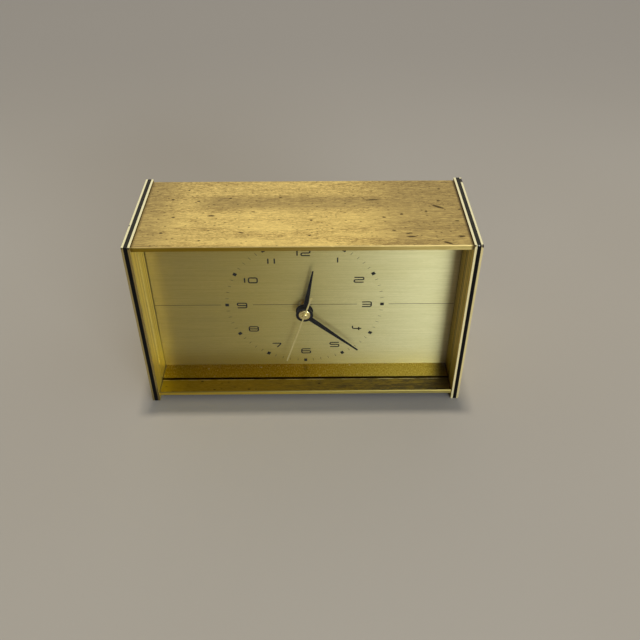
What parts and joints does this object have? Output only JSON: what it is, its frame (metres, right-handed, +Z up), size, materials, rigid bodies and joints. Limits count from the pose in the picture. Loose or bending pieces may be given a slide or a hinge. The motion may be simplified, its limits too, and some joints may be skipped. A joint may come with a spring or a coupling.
{
  "type": "table clock",
  "caption": "Rectangular brass table clock with layered end panels, glazed full-width dial, three hands, battery balance movement and rear setting knob.",
  "frame": {"origin": "on the table, under the middle of the clock", "axes": "+Z up, the dial faces -Y, +X to the right as seen from the front"},
  "size_m": [0.185, 0.0684, 0.114],
  "materials": {
    "case_brass": "brushed, lacquered, tarnished in streaks",
    "core_black": "black, smooth",
    "glass": "clear, polished",
    "dial_brass": "fine brushed",
    "marker_black": "black print",
    "hand_black": "black gloss enamel",
    "hand_brass": "polished",
    "cover_black": "fine grain",
    "knob_black": "ribbed",
    "steel": "plated",
    "movement_brass": "machined",
    "board": "resin board",
    "component": "moulded",
    "coil_copper": "enamelled wire, taped",
    "cell_wrap": "plain printed-free wrap"
  },
  "bodies": {
    "case": {"balance_cock": "movement_brass", "board_screws": "steel", "board_standoffs": "steel", "bottom_plate": "case_brass", "capacitor": "component", "cell_cradle": "cover_black", "circuit_board": "board", "cock_screw": "steel", "cover_screws": "steel", "cradle_screws": "steel", "dial_feet": "movement_brass", "dial_foot_nuts": "movement_brass", "dial_plate": "dial_brass", "drive_coil": "coil_copper", "front_plate": "movement_brass", "glass_pane": "glass", "hour_markers": "marker_black", "left_core": "core_black", "left_inner_skin": "case_brass", "left_outer_skin": "case_brass", "minute_stud": "steel", "movement_screws": "steel", "negative_contact": "steel", "panel_screws": "steel", "pillars": "movement_brass", "positive_contact": "steel", "rear_cover": "cover_black", "rear_plate": "movement_brass", "regulator_clip": "steel", "resistor": "board", "right_core": "core_black", "right_inner_skin": "case_brass", "right_outer_skin": "case_brass", "top_plate": "case_brass", "transistor": "component"},
    "minute": {"minute_hand": "hand_black", "minute_collet": "hand_brass", "cannon_pinion": "movement_brass", "clutch_spring": "steel", "clutch_collar": "movement_brass"},
    "hour": {"hour_hand": "hand_black", "hour_wheel": "movement_brass"},
    "minute_wheel": {"minute_wheel": "movement_brass"},
    "setting": {"setting_arbor": "steel", "setting_knob": "knob_black"},
    "seconds": {"second_hand": "hand_brass", "hand_cap": "hand_brass", "seconds_arbor": "steel", "index_wheel": "movement_brass"},
    "third": {"third_arbor": "steel", "third_wheel": "movement_brass"},
    "centre": {"centre_wheel": "movement_brass"},
    "balance": {"balance_staff": "steel", "balance_wheel": "movement_brass", "balance_magnets": "steel", "impulse_roller": "movement_brass", "hairspring": "steel"},
    "regulator": {"regulator_lever": "steel"},
    "cell": {"cell": "cell_wrap"}
  },
  "joints": [
    {"name": "minute_turn", "type": "hinge", "parent": "case", "child": "minute", "pos_m": [0, 0, 0.055], "axis": [0, 1, 0], "continuous": true},
    {"name": "hour_turn", "type": "hinge", "parent": "case", "child": "hour", "pos_m": [0, 0, 0.055], "axis": [0, 1, 0], "continuous": true},
    {"name": "minute_wheel_turn", "type": "hinge", "parent": "case", "child": "minute_wheel", "pos_m": [0, 0, 0.043], "axis": [0, 1, 0], "continuous": true},
    {"name": "setting_turn", "type": "hinge", "parent": "case", "child": "setting", "pos_m": [0, 0, 0.0316], "axis": [0, 1, 0], "continuous": true},
    {"name": "seconds_turn", "type": "hinge", "parent": "case", "child": "seconds", "pos_m": [0, 0, 0.055], "axis": [0, 1, 0], "continuous": true},
    {"name": "third_turn", "type": "hinge", "parent": "case", "child": "third", "pos_m": [0, 0, 0.0712], "axis": [0, 1, 0], "continuous": true},
    {"name": "centre_turn", "type": "hinge", "parent": "case", "child": "centre", "pos_m": [0, 0, 0.055], "axis": [0, 1, 0], "continuous": true},
    {"name": "balance_turn", "type": "hinge", "parent": "case", "child": "balance", "pos_m": [-0.01, 0, 0.055], "axis": [0, 1, 0], "range_deg": [-130, 130], "stiffness_Nm_per_rad": 0.000035},
    {"name": "regulator_turn", "type": "hinge", "parent": "case", "child": "regulator", "pos_m": [-0.01, 0, 0.055], "axis": [0, 1, 0], "range_deg": [-20, 20]},
    {"name": "cell_slide", "type": "slide", "parent": "case", "child": "cell", "axis": [0, 1, 0], "range_m": [0, 0.045]}
  ],
  "couplings": [
    {"joint": "hour_turn", "follows": "minute_turn", "ratio": 0.083333},
    {"joint": "minute_wheel_turn", "follows": "minute_turn", "ratio": -0.33333},
    {"joint": "setting_turn", "follows": "minute_turn", "ratio": 1.25},
    {"joint": "third_turn", "follows": "seconds_turn", "ratio": -0.125},
    {"joint": "centre_turn", "follows": "seconds_turn", "ratio": 0.016667}
  ]
}
